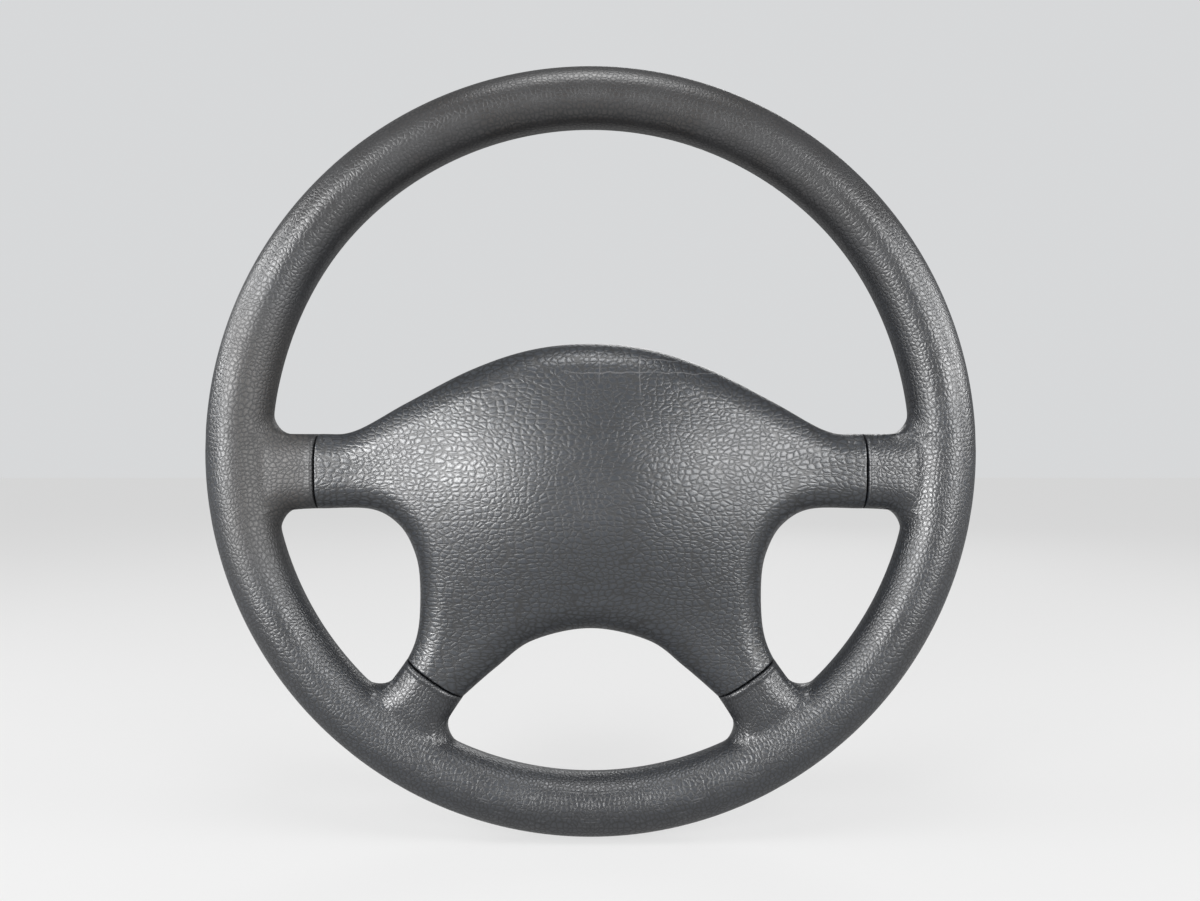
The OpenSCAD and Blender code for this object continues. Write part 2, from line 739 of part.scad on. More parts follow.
// Openings in the pad's end walls for the armature's spokes
module spoke_gate(from, to) {
    each_spoke() translate([from, -core_w / 2 - 1.5, rim_height - 30])
        cube([to - from, core_w + 3, 30 + spoke_front - pad_skin - 2]);
}

module pad_cover() {
    color(pad_grey) upright() difference() {
        pad_shell();
        spoke_gate(seam_x - 10, seam_x + 10);
    }
}

// The four studs that clamp airbag, tray and gas generator together
module stud_spots() {
    for (a = [45:90:315]) translate(polar(stud_pcd_r, a)) children();
}

// Sheet steel tray behind the airbag, with upturned sides inside the pad's box
flange_up = 9;
module module_frame() {
    inside = box_wall + 0.2;
    top = frame_z + sheet_t;
    color(steel) upright() difference() {
        union() {
            translate([-plate_x, plate_down, frame_z]) cube([2 * plate_x, plate_up - plate_down, sheet_t]);
            translate([-box_x - 1, 0, frame_z]) cube([2 * box_x + 2, box_up + 1, sheet_t]);
            for (side = [-1, 1])
                translate([side * (box_x - inside - sheet_t / 2), (box_up - box_down) / 2, frame_z + flange_up / 2])
                    cube([sheet_t, box_up + box_down - 12, flange_up], center = true);
        }
        pillar([0, bolt_y], inflator_d / 2 + 0.3, frame_z - 1, top + 1);
        both_sides() pillar([bolt_x, bolt_y], bolt_d / 2 - 0.9, frame_z - 1, top + 1);
        translate([0, bolt_y, 0]) stud_spots() pillar([0, 0], stud_r + 0.2, frame_z - 1, top + 1);
        rivet_spots() cylinder(r = rivet_r + 0.05, h = 30, center = true);
    }
}

module cover_rivets() {
    color(zinc) upright() rivet_spots() {
        cylinder(r = rivet_r, h = 12, center = true);
    }
}

// Ring that clamps the airbag's mouth to the tray, with four welded studs
module retainer_ring() {
    z = frame_z + sheet_t;
    color(zinc) upright() translate([0, bolt_y, 0]) {
        difference() {
            pillar([0, 0], flange_r - 1, z, z + sheet_t);
            pillar([0, 0], inflator_d / 2 + 0.6, z - 1, z + sheet_t + 1);
        }
        stud_spots() pillar([0, 0], stud_r, frame_z - 8, z);
    }
}

module inflator_nuts() {
    top = frame_z - sheet_t;
    color(zinc) upright() translate([0, bolt_y, 0]) stud_spots() difference() {
        translate([0, 0, top - 4]) cylinder(r = 4.4, h = 4, $fn = 6);
        pillar([0, 0], stud_r + 0.05, top - 5, top + 1);
    }
}

// Rectangle with round corners, drawn about the middle of the airbag box
module soft_slab(x, y, r, z0, z1) {
    translate([0, (box_up - box_down) / 2, z0]) linear_extrude(z1 - z0) {
        square([2 * x, 2 * (y - r)], center = true);
        square([2 * (x - r), 2 * y], center = true);
        for (i = [-1, 1]) for (j = [-1, 1]) translate([i * (x - r), j * (y - r)]) circle(r);
    }
}

// The folded airbag: a stack of pleats round and over the gas generator
module airbag_cushion() {
    low = frame_z + 2 * sheet_t + 0.3;
    top = rim_height + pad_crown - pad_skin - 3;
    pleats = 6;
    pleat = (top - low) / pleats;
    wide = box_x - 6;
    tall = (box_up + box_down) / 2 - 5;
    color("ivory") upright() difference() {
        union() {
            for (i = [0:pleats - 1])
                let (shrink = 1 - 0.62 * max(0, (i - 1) / pleats))
                    soft_slab(wide * shrink, tall * shrink, 6, low + i * pleat, low + (i + 1) * pleat - 0.6);
            for (i = [1:pleats - 1])
                let (shrink = 1 - 0.62 * max(0, (i - 1) / pleats))
                    soft_slab(wide * shrink - 2, tall * shrink - 2, 5, low + i * pleat - 1, low + i * pleat + 1);
        }
        pillar([0, bolt_y], inflator_d / 2 + 0.8, low - 1, inflator_z + inflator_h + 0.5);
    }
}

// Lower shell of the gas generator, with the flange that the studs hold
module inflator_base() {
    r = inflator_d / 2;
    z = inflator_z;
    color(steel) upright() translate([0, bolt_y, 0]) difference() {
        union() {
            rotate_extrude() polygon([
                [0, z], [r - 3, z], [r, z + 3], [r, frame_z - sheet_t], [r, frame_z],
                [r - shell_t, frame_z], [r - shell_t, z + 4], [r - 4, z + shell_t], [0, z + shell_t]
            ]);
            difference() {
                pillar([0, 0], flange_r, frame_z - sheet_t, frame_z);
                pillar([0, 0], r - 0.5, frame_z - sheet_t - 1, frame_z + 1);
            }
        }
        stud_spots() pillar([0, 0], stud_r + 0.2, frame_z - 3, frame_z + 1);
        pillar([0, 0], igniter_neck_r + 0.1, z - 1, z + shell_t + 1);
    }
}

// Upper shell of the gas generator, with the ports that fill the airbag
module inflator_cap() {
    r = inflator_d / 2;
    top = inflator_z + inflator_h;
    color(steel) upright() translate([0, bolt_y, 0]) difference() {
        rotate_extrude() polygon([
            [0, top], [r - 5, top], [r, top - 5], [r, frame_z], [r - shell_t, frame_z],
            [r - shell_t, top - 6], [r - 6, top - shell_t], [0, top - shell_t]
        ]);
        for (a = [0:30:330]) rotate([0, 0, a]) translate([r - 4, 0, top - 10]) rotate([0, 90, 0])
            cylinder(r = 1.5, h = 8);
    }
}

module inflator_filter() {
    z = inflator_z + shell_t + 0.2;
    color(zinc) upright() translate([0, bolt_y, 0]) difference() {
        pillar([0, 0], filter_out_r, z, inflator_z + inflator_h - shell_t - 0.2);
        pillar([0, 0], filter_in_r, z - 1, inflator_z + inflator_h);
    }
}

module inflator_propellant() {
    z = inflator_z + shell_t + 0.2;
    color("khaki") upright() translate([0, bolt_y, 0]) difference() {
        pillar([0, 0], filter_in_r - 0.3, z, inflator_z + inflator_h - shell_t - 4);
        pillar([0, 0], igniter_r + 0.5, z - 1, inflator_z + inflator_h);
    }
}

// Igniter pressed into the lower shell, with a socket for the firing lead
module inflator_igniter() {
    z = inflator_z;
    color(brass) upright() translate([0, bolt_y, 0]) difference() {
        union() {
            pillar([0, 0], igniter_neck_r, z - 1, z + shell_t + 1);
            pillar([0, 0], igniter_r, z + shell_t + 0.05, z + inflator_h / 2);
        }
        pillar([0, 0], igniter_neck_r - 3, z - 2, z + 6);
    }
}

// Spacer between the horn's top plate and the module frame
module sleeve() {
    color(zinc) upright() difference() {
        pillar([bolt_x, bolt_y], sleeve_r, top_plate_z + sheet_t, frame_z);
        pillar([bolt_x, bolt_y], bolt_d / 2 + 0.1, top_plate_z, frame_z + 1);
    }
}

module sleeve_right() {
    sleeve();
}

module sleeve_left() {
    mirror([1, 0, 0]) sleeve();
}

// Shoulder bolts: the head stops behind the bush, the shank slides in it
module module_bolts() {
    head_z = base_plate_z - 1.5;
    tip_z = frame_z + sheet_t + 7;
    color(steel) upright() both_sides() difference() {
        union() {
            pillar([bolt_x, bolt_y], bolt_d / 2, head_z, frame_z);
            pillar([bolt_x, bolt_y], bolt_d / 2 - 1, frame_z, tip_z);
            pillar([bolt_x, bolt_y], bolt_head_r, head_z - bolt_head_h, head_z);
        }
        translate([bolt_x, bolt_y, head_z - bolt_head_h - 1])
            cylinder(r = bolt_head_r * 0.5, h = bolt_head_h * 0.6 + 1, $fn = 6);
    }
}

module module_nuts() {
    z = frame_z + sheet_t;
    color(zinc) upright() both_sides() difference() {
        translate([bolt_x, bolt_y, z]) cylinder(r = bolt_d / 2 + 2, h = nut_h, $fn = 6);
        pillar([bolt_x, bolt_y], bolt_d / 2 - 0.95, z - 1, z + nut_h + 1);
    }
}

module horn_top_plate() {
    color(zinc) upright() horn_plate(top_plate_z, bolt_d / 2 + 0.1, screw_spots, 5);
}

foam_rim();
armature();
hub_insert();
rear_cover();
rear_cover_screws();
horn_base_plate();
base_plate_screws();
guide_bush_left();
guide_bush_right();
horn_spring_1();
horn_spring_2();
horn_spring_3();
horn_spring_4();
fixed_contacts();
pad_cover();
pad_frame();
module_frame();
retainer_ring();
airbag_cushion();
inflator_base();
inflator_cap();
inflator_filter();
inflator_igniter();
inflator_propellant();
inflator_nuts();
cover_rivets();
sleeve_left();
sleeve_right();
module_bolts();
module_nuts();
horn_top_plate();
moving_contacts();
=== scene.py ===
import math
from collections import namedtuple
import bmesh
import bpy
import numpy as np
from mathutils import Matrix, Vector


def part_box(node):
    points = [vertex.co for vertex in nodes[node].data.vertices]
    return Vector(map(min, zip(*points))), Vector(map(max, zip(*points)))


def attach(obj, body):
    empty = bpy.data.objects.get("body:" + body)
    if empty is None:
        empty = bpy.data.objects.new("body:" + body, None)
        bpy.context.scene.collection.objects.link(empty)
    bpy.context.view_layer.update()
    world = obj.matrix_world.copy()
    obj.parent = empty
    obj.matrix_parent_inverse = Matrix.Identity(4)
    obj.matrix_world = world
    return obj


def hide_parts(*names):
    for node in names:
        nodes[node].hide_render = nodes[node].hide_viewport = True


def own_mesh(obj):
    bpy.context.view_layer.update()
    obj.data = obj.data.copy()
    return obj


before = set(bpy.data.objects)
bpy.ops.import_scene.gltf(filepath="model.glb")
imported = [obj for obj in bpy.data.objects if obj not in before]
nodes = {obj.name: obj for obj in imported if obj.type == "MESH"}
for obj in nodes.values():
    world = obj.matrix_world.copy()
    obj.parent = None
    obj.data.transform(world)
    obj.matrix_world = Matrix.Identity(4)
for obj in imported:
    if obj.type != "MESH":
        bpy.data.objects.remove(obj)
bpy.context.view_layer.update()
WHEEL, MODULE = "wheel", "airbag_module"
MM = 0.001


# ---------------------------------------------------------------------------
# Armature: the wheel's skeleton, a rim channel, four spokes and a hub plate
# in one piece of die-cast aluminium. Its skin is dull, faintly mottled and
# rough where the die released it.
def add(tree, kind, inputs=None, **settings):
    node = tree.nodes.new(kind)
    for name, value in settings.items():
        setattr(node, name, value)
    for name, value in (inputs or {}).items():
        if isinstance(value, bpy.types.NodeSocket):
            tree.links.new(value, node.inputs[name])
        else:
            node.inputs[name].default_value = value
    return node


def maths(tree, operation, a, b=0.0, c=0.0, use_clamp=False):
    node = add(tree, "ShaderNodeMath", {0: a, 1: b, 2: c}, operation=operation,
               use_clamp=use_clamp)
    return node.outputs[0]


def vector_maths(tree, operation, a, b):
    socket = 3 if operation == "SCALE" else 1
    node = add(tree, "ShaderNodeVectorMath", {0: a, socket: b}, operation=operation)
    return node.outputs[0]


def axes_of(tree, place):
    return add(tree, "ShaderNodeSeparateXYZ", {0: place}).outputs


def noise(tree, place, scale, detail=2.0, roughness=0.5):
    return add(tree, "ShaderNodeTexNoise", {"Vector": place, "Scale": scale, "Detail": detail,
                                            "Roughness": roughness}).outputs


def smooth_step(tree, value, low, high):
    node = add(tree, "ShaderNodeMapRange", {"Value": value, "From Min": low, "From Max": high},
               interpolation_type="SMOOTHSTEP")
    return node.outputs["Result"]


def between(tree, share, low, high):
    node = add(tree, "ShaderNodeMapRange", {"Value": share, "To Min": low, "To Max": high})
    return node.outputs["Result"]


def tint(tree, share, colour_a, colour_b):
    node = add(tree, "ShaderNodeMix", {0: share, 6: colour_a, 7: colour_b}, data_type="RGBA")
    return node.outputs[2]


def grey(value, warm=0.0):
    return (value * (1 + warm), value, value * (1 - warm), 1.0)


def new_group(name, inputs, outputs, output_kind="NodeSocketFloat"):
    group = bpy.data.node_groups.new(name, "ShaderNodeTree")
    for label, value in inputs:
        kind = "NodeSocketVector" if isinstance(value, tuple) else "NodeSocketFloat"
        socket = group.interface.new_socket(name=label, in_out="INPUT", socket_type=kind)
        socket.default_value = value
    for label in outputs:
        group.interface.new_socket(name=label, in_out="OUTPUT", socket_type=output_kind)
    given = group.nodes.new("NodeGroupInput").outputs
    return group, given, group.nodes.new("NodeGroupOutput").inputs


def new_material(name):
    material = bpy.data.materials.new(name)
    material.use_nodes = True
    return material, material.node_tree, material.node_tree.nodes["Principled BSDF"]


def roughen(tree, shader, height, depth_mm):
    bump = add(tree, "ShaderNodeBump", {"Height": height, "Distance": depth_mm * MM})
    tree.links.new(bump.outputs["Normal"], shader.inputs["Normal"])


# Place on the piece itself, in millimetres
def place_mm(tree):
    coordinates = add(tree, "ShaderNodeTexCoord")
    return vector_maths(tree, "SCALE", coordinates.outputs["Object"], 1000.0)


# Mottle of a metal skin: broad stains and a fine tooth, each from 0 to 1
mottle, given, result = new_group(
    "metal_mottle", [("Stain mm", 9.0), ("Tooth mm", 0.6)], ["Stain", "Tooth"])
spot = place_mm(mottle)
for size, label in (("Stain mm", "Stain"), ("Tooth mm", "Tooth")):
    spread = noise(mottle, spot, maths(mottle, "DIVIDE", 1.0, given[size]), detail=3.0)
    mottle.links.new(smooth_step(mottle, spread["Fac"], 0.32, 0.68), result[label])


def metal(name, dark, light, rough, stain_mm=9.0, tooth_mm=0.6, depth_mm=0.05):
    finish, tree, shader = new_material(name)
    skin = add(tree, "ShaderNodeGroup", {"Stain mm": stain_mm, "Tooth mm": tooth_mm},
               node_tree=mottle).outputs
    tree.links.new(tint(tree, skin["Stain"], dark, light), shader.inputs["Base Color"])
    shader.inputs["Metallic"].default_value = 1.0
    gloss = between(tree, skin["Stain"], rough + 0.1, rough - 0.06)
    tree.links.new(gloss, shader.inputs["Roughness"])
    roughen(tree, shader, skin["Tooth"], depth_mm)
    return finish


# A CAD node keeps its shape; its faces are joined and its edges broken a little
def dress(name, finish, edge_mm=0.25):
    piece = nodes[name]
    piece.data.materials.clear()
    piece.data.materials.append(finish)
    weld = piece.modifiers.new("join_faces", "WELD")
    weld.merge_threshold = 1e-6
    if edge_mm:
        broken = piece.modifiers.new("broken_edges", "BEVEL")
        broken.width = edge_mm * MM
        broken.segments = 2
        broken.limit_method = "ANGLE"
        broken.angle_limit = math.radians(35)


cast_skin = metal("cast_aluminium", grey(0.42), grey(0.56), 0.46,
                  stain_mm=14, tooth_mm=0.8, depth_mm=0.09)
dress("armature", cast_skin, 0)


# ---------------------------------------------------------------------------
# Hub insert: a steel boss with 36 splines, cast into the armature. It carries
# the wheel on the steering column; turned and broached, then left bright.
turned_steel = metal("turned_steel", grey(0.40), grey(0.52), 0.3,
                     stain_mm=5, tooth_mm=0.3, depth_mm=0.02)
dress("hub_insert", turned_steel, 0)


# ---------------------------------------------------------------------------
# Rim and stubs: polyurethane foam moulded round the armature in one shot, with
# a dense grained skin. The stubs swell out of the rim and end at the seams.
# It is drawn flat in millimetres: x right, y up, and heights towards the driver.
def mix(a, b, t):
    return a + (b - a) * t


def ramp(x, low, high):
    t = np.clip((x - low) / (high - low), 0.0, 1.0)
    return t * t * (3 - 2 * t)


def quarter_round(share):
    return np.sqrt(np.maximum(0.0, 1 - (1 - np.clip(share, 0.0, 1.0)) ** 2))


def turn(points, degrees):
    a = math.radians(degrees)
    points = np.atleast_2d(points)
    return np.stack([points[:, 0] * math.cos(a) - points[:, 1] * math.sin(a),
                     points[:, 0] * math.sin(a) + points[:, 1] * math.cos(a)], 1)


def polar(radius, degrees):
    a = np.radians(degrees)
    return np.array([radius * np.cos(a), radius * np.sin(a)])


def gap_to(points, path):
    nearest = np.full(len(points), 1e9)
    for a, b in zip(path[:-1], path[1:]):
        along = b - a
        t = np.clip((points - a) @ along / (along @ along), 0.0, 1.0)
        nearest = np.minimum(nearest, np.linalg.norm(points - a - t[:, None] * along, axis=1))
    return nearest


RIM_R, GRIP, RIM_Z = 192.5, 30.0, 66.0
RIM_IN_TOP, RIM_IN_LOW = 162.5, 161.0
SPOKE_FRONT, SPOKE_BACK, EDGE_ROUND = 10.0, 18.0, 14.0
# A spoke: its angle, the offset of its middle line, half its width, where its seam lies
# and the fillet between it and the rim
Spoke = namedtuple("Spoke", "angle offset half seam fillet")
LEVEL_SPOKE = Spoke(0.0, -9.9, 18.7, 137.0, 10.0)
LOW_SPOKE = Spoke(-55.5, 0.0, 16.9, 138.0, 10.0)


def rim_in(degrees):
    return mix(RIM_IN_LOW, RIM_IN_TOP, ramp(degrees, 12, 45))


def spoke_corner(spoke, along, side):
    return turn([along, spoke.offset + side * spoke.half], spoke.angle)[0]


def fillet_middle(spoke, side):
    v = spoke.offset + side * (spoke.half + spoke.fillet)
    return np.array([math.sqrt((RIM_IN_LOW - spoke.fillet) ** 2 - v * v), v])


def fillet_angle(spoke, side):
    middle = fillet_middle(spoke, side)
    return math.degrees(math.atan2(middle[1], middle[0]))


def fillet(spoke, side, steps):
    turns = mix(fillet_angle(spoke, side), -90 * side, np.arange(steps + 1) / steps)
    points = fillet_middle(spoke, side) + polar(spoke.fillet, turns).T
    return turn(points, spoke.angle)


def seam_points(a, b, steps):
    shares = (1 - np.cos(np.pi * np.arange(1, steps) / steps)) / 2
    return a + shares[:, None] * (b - a)


FILLET_STEPS, SEAM_STEPS, ARC_STEP = 10, 28, 1.4


# Stations run clockwise round the inside of the moulding: inner point, seam or not,
# and the angle of the outer point that the section reaches
def spoke_stations(spoke):
    upper, lower = (spoke_corner(spoke, spoke.seam, side) for side in (1, -1))
    path = np.vstack([fillet(spoke, 1, FILLET_STEPS), upper[None],
                      seam_points(upper, lower, SEAM_STEPS), lower[None],
                      fillet(spoke, -1, FILLET_STEPS)[::-1]])
    at_seam = np.zeros(len(path), bool)
    at_seam[FILLET_STEPS + 2:FILLET_STEPS + 1 + SEAM_STEPS] = True
    run = np.concatenate([[0], np.cumsum(np.linalg.norm(np.diff(path, axis=0), axis=1))])
    a, b = (spoke.angle + fillet_angle(spoke, side) for side in (1, -1))
    return path, at_seam, mix(a, b, run / run[-1])


def rim_stations(a, b, first, past_last):
    steps = int(math.ceil((a - b) / ARC_STEP))
    angles = mix(a, b, np.arange(first, steps + past_last) / steps)
    points = polar(rim_in(angles), angles).T
    return points, np.zeros(len(points), bool), angles


level, low = spoke_stations(LEVEL_SPOKE), spoke_stations(LOW_SPOKE)
low_top = LOW_SPOKE.angle + fillet_angle(LOW_SPOKE, 1)
low_foot = LOW_SPOKE.angle + fillet_angle(LOW_SPOKE, -1)
runs = [rim_stations(90, fillet_angle(LEVEL_SPOKE, 1), 0, 0), level,
        rim_stations(fillet_angle(LEVEL_SPOKE, -1), low_top, 1, 0), low,
        rim_stations(low_foot, -90, 1, 1)]
inner = np.vstack([r[0] for r in runs])
at_seam = np.concatenate([r[1] for r in runs])
outer_angle = np.concatenate([r[2] for r in runs])
mirrored_half = slice(len(inner) - 2, 0, -1)
inner = np.vstack([inner, inner[mirrored_half] * [-1, 1]])
at_seam = np.concatenate([at_seam, at_seam[mirrored_half]])
outer_angle = np.concatenate([outer_angle, 180 - outer_angle[mirrored_half]])

free_upper = np.vstack([polar(rim_in(20.0), 20), polar(rim_in(15.0), 15),
                        level[0][:FILLET_STEPS + 2]])
free_side = np.vstack([level[0][FILLET_STEPS + 1 + SEAM_STEPS:], low[0][:FILLET_STEPS + 2]])
free_low = np.vstack([low[0][FILLET_STEPS + 1 + SEAM_STEPS:],
                      polar(RIM_IN_LOW, -75), polar(RIM_IN_LOW, -80)])


def right_side(points):
    return points * np.where(points[:, :1] < 0, [-1, 1], 1)


def on_spoke(points, spoke):
    q = turn(right_side(points), -spoke.angle)
    share = 1 - ramp(np.abs(q[:, 1] - spoke.offset), spoke.half + 2, spoke.half + 22)
    share = share * (1 - ramp(np.linalg.norm(points, axis=1), RIM_IN_LOW - 4, RIM_R))
    return np.where(q[:, 0] < 0, 0.0, share)


# Distance to the nearest seam along a spoke, on the rim's side (1) or the pad's (-1)
def past_seam(points, side):
    gaps = []
    for spoke in (LEVEL_SPOKE, LOW_SPOKE):
        q = turn(right_side(points), -spoke.angle)
        near = (np.abs(q[:, 1] - spoke.offset) < 24) & (q[:, 0] > 100)
        gaps.append(np.where(near, side * (q[:, 0] - spoke.seam), 1e9))
    return np.maximum(np.minimum(gaps[0], gaps[1]), 0)


# The foam has a thin raised lip beside each seam; lip, its place and width, and edge radius
SEAM_LIP, LIP_PLACE, LIP_WIDTH, SEAM_ROUND = 0.7, 1.4, 0.9, 0.7


def moulding_height(points, spoke_height):
    r = np.linalg.norm(points, axis=1)
    angle = np.degrees(np.arctan2(points[:, 1], np.abs(points[:, 0])))
    half = (RIM_R - rim_in(angle)) / 2
    tube = GRIP / 2 * np.sqrt(np.maximum(0, 1 - ((r - RIM_R + half) / half) ** 2))
    share = np.maximum(on_spoke(points, LEVEL_SPOKE), on_spoke(points, LOW_SPOKE))
    q = right_side(points)
    gap = np.min([gap_to(q, path) for path in (free_upper, free_side, free_low)], axis=0)
    bar = spoke_height * share * quarter_round(gap / EDGE_ROUND)
    height = (tube ** 5 + bar ** 5) ** 0.2
    seam = past_seam(points, 1)
    lip = SEAM_LIP * np.exp(-((seam - LIP_PLACE) / LIP_WIDTH) ** 2) * ramp(gap, 0, 5)
    edge = SEAM_ROUND * (1 - quarter_round(seam / SEAM_ROUND)) * ramp(gap, 0, 1)
    return height + lip - edge


# A flat point and its height become a point of the frame, in metres
def upright_mm(flat, heights):
    return np.stack([flat[:, 0], -heights, flat[:, 1]], 1) * MM


# Faces of a grid of points whose columns close on themselves, and its rows if asked
def grid_faces(rows, columns, close_rows, start=0):
    i, j = np.meshgrid(np.arange(rows if close_rows else rows - 1), np.arange(columns),
                       indexing="ij")
    a = start + i * columns + j
    b = start + i * columns + (j + 1) % columns
    c = start + ((i + 1) % rows) * columns + (j + 1) % columns
    d = start + ((i + 1) % rows) * columns + j
    return np.stack([a.ravel(), b.ravel(), c.ravel(), d.ravel()], 1)


def mesh_piece(name, points, faces):
    mesh = bpy.data.meshes.new(name)
    mesh.from_pydata(points.tolist(), [], [list(map(int, f)) for f in faces])
    work = bmesh.new()
    work.from_mesh(mesh)
    bmesh.ops.remove_doubles(work, verts=work.verts, dist=2e-6)
    bmesh.ops.recalc_face_normals(work, faces=work.faces)
    work.to_mesh(mesh)
    work.free()
    mesh.shade_smooth()
    mesh.set_sharp_from_angle(angle=math.radians(40))
    piece = bpy.data.objects.new(name, mesh)
    bpy.context.scene.collection.objects.link(piece)
    return piece


FRONT_STEPS, BACK_STEPS = 36, 28
outer = polar(np.full(len(outer_angle), RIM_R), outer_angle).T


# One line of points round the moulding, at a step between its inner and outer edge
def moulding_line(step, steps, spoke_height):
    flat = mix(inner, outer, (1 - math.cos(math.pi * step / steps)) / 2)
    height = moulding_height(flat, spoke_height)
    if step == 0:
        height[~at_seam] = 0
    if step == steps:
        height[:] = 0
    return flat, height


columns = []
for j in range(FRONT_STEPS + 1):
    flat, rise = moulding_line(j, FRONT_STEPS, SPOKE_FRONT)
    columns.append(upright_mm(flat, RIM_Z + rise))
for j in range(BACK_STEPS - 1, -1, -1):
    flat, drop = moulding_line(j, BACK_STEPS, SPOKE_BACK)
    columns.append(upright_mm(flat, RIM_Z - drop))
skin = np.stack(columns, 1)
rim = mesh_piece("rim_moulding", skin.reshape(-1, 3), grid_faces(len(inner), len(columns), True))


# Walls between the cells of a pattern: 0 in a valley, rising in a round shoulder to 1
def walls(tree, place, rate, low, high, looseness=0.9):
    cells = add(tree, "ShaderNodeTexVoronoi",
                {"Vector": place, "Scale": rate, "Randomness": looseness},
                feature="DISTANCE_TO_EDGE", voronoi_dimensions="2D")
    share = add(tree, "ShaderNodeMapRange", {"Value": cells.outputs["Distance"],
                                             "From Min": low, "From Max": high})
    share = share.outputs["Result"]
    return maths(tree, "MULTIPLY", share, maths(tree, "SUBTRACT", 2.0, share))


# Moulded leather grain on a surface laid out flat in X and Y, in millimetres:
# flat-topped pebbles with narrow valleys, and wandering creases that run along X.
grain, given, result = new_group(
    "moulded_grain",
    [("Place", (0.0, 0.0, 0.0)), ("Pebble mm", 2.3), ("Creases", 0.5), ("Wander", 0.6),
     ("Flow mm", 14.0)],
    ["Height", "Tops"])
rate = maths(grain, "DIVIDE", 1.0, given["Pebble mm"])
drift = noise(grain, given["Place"], maths(grain, "MULTIPLY", rate, 0.6))
centred = vector_maths(grain, "SUBTRACT", drift["Color"], (0.5, 0.5, 0.5))
reach = maths(grain, "MULTIPLY", given["Wander"], given["Pebble mm"])
pushed = vector_maths(grain, "SCALE", centred, reach)
flow = noise(grain, given["Place"], 0.022, detail=1.0)
flow = vector_maths(grain, "SCALE", flow["Color"], given["Flow mm"])
bent = vector_maths(grain, "ADD", vector_maths(grain, "ADD", given["Place"], pushed), flow)
pebbles = walls(grain, bent, rate, 0.02, 0.42)
small_pebbles = walls(grain, bent, maths(grain, "MULTIPLY", rate, 2.1), 0.0, 0.22)
patches = noise(grain, given["Place"], maths(grain, "MULTIPLY", rate, 0.2))
patchy = smooth_step(grain, patches["Fac"], 0.38, 0.62)
stretched = add(grain, "ShaderNodeMapping", {"Vector": bent, "Scale": (0.15, 0.5, 0.5)})
folds = walls(grain, stretched.outputs[0], maths(grain, "MULTIPLY", rate, 0.8), 0.01, 0.10, 1.0)
open_creases = maths(grain, "MULTIPLY", maths(grain, "SUBTRACT", 1.0, folds),
                     maths(grain, "MULTIPLY_ADD", patchy, 0.7, 0.3))
creased = maths(grain, "MULTIPLY", open_creases, given["Creases"])
crossed = maths(grain, "MULTIPLY", maths(grain, "SUBTRACT", 1.0, small_pebbles),
                maths(grain, "MULTIPLY_ADD", patchy, -0.15, 0.25))
tops = maths(grain, "SUBTRACT", pebbles, crossed, use_clamp=True)
tops = maths(grain, "SUBTRACT", tops, creased, use_clamp=True)
uneven = maths(grain, "MULTIPLY_ADD", drift["Fac"], 0.4, tops)
grain.links.new(uneven, result["Height"])
grain.links.new(tops, result["Tops"])

# Wear of handling: broad rubbed patches and fine dust
handling, given, result = new_group(
    "handling_wear", [("Place", (0.0, 0.0, 0.0)), ("Patch mm", 45.0)], ["Rubbed", "Dust"])
patch_rate = maths(handling, "DIVIDE", 1.0, given["Patch mm"])
rub = noise(handling, given["Place"], patch_rate, detail=4.0, roughness=0.6)
handling.links.new(smooth_step(handling, rub["Fac"], 0.36, 0.66), result["Rubbed"])
motes = noise(handling, given["Place"], 0.9, detail=5.0, roughness=0.75)
handling.links.new(smooth_step(handling, motes["Fac"], 0.56, 0.78), result["Dust"])

# The rim laid out flat: the run along the hoop in X, the same on its left and right,
# and in Y the run round the tube from its outside, which goes on along a stub.
hoop, given, result = new_group(
    "along_the_hoop", [("Hoop mm", 177.5), ("Tube mm", 15.0), ("Depth mm", RIM_Z)],
    ["Place"], "NodeSocketVector")
axes = axes_of(hoop, place_mm(hoop))
around = maths(hoop, "ABSOLUTE", maths(hoop, "ARCTAN2", axes["X"], axes["Z"]))
far = maths(hoop, "SQRT", maths(hoop, "ADD", maths(hoop, "POWER", axes["X"], 2.0),
                                maths(hoop, "POWER", axes["Z"], 2.0)))
outward = maths(hoop, "SUBTRACT", far, given["Hoop mm"])
above = maths(hoop, "SUBTRACT", maths(hoop, "MULTIPLY", axes["Y"], -1.0), given["Depth mm"])
rise = maths(hoop, "ABSOLUTE", above)
tube_run = maths(hoop, "MULTIPLY", maths(hoop, "ARCTAN2", rise, outward), given["Tube mm"])
inward = maths(hoop, "SUBTRACT", maths(hoop, "MULTIPLY", outward, -1.0), given["Tube mm"])
on_stub = maths(hoop, "MAXIMUM", maths(hoop, "ADD", inward, 2.0), 0.0)
stub_run = maths(hoop, "MULTIPLY", on_stub, 0.85)
across = maths(hoop, "MULTIPLY", maths(hoop, "ADD", tube_run, stub_run),
               maths(hoop, "SIGN", above))
at_edge = maths(hoop, "MAXIMUM", maths(hoop, "SUBTRACT", 6.0, rise), 0.0)
edge_run = maths(hoop, "MULTIPLY", at_edge, 0.6)
along = maths(hoop, "MULTIPLY_ADD", around, given["Hoop mm"], edge_run)
laid = add(hoop, "ShaderNodeCombineXYZ", {"X": along, "Y": across})
hoop.links.new(laid.outputs[0], result["Place"])

# The second colour is painted shade: it darkens the grain's valleys, where shade falls
DARK_SKIN, PAINTED_VALLEY_SHADE = (0.024, 0.028, 0.035, 1), (0.004, 0.0045, 0.0055, 1)
GRAIN_DEPTH_MM, VALLEY_DULLS = 0.1, 0.14
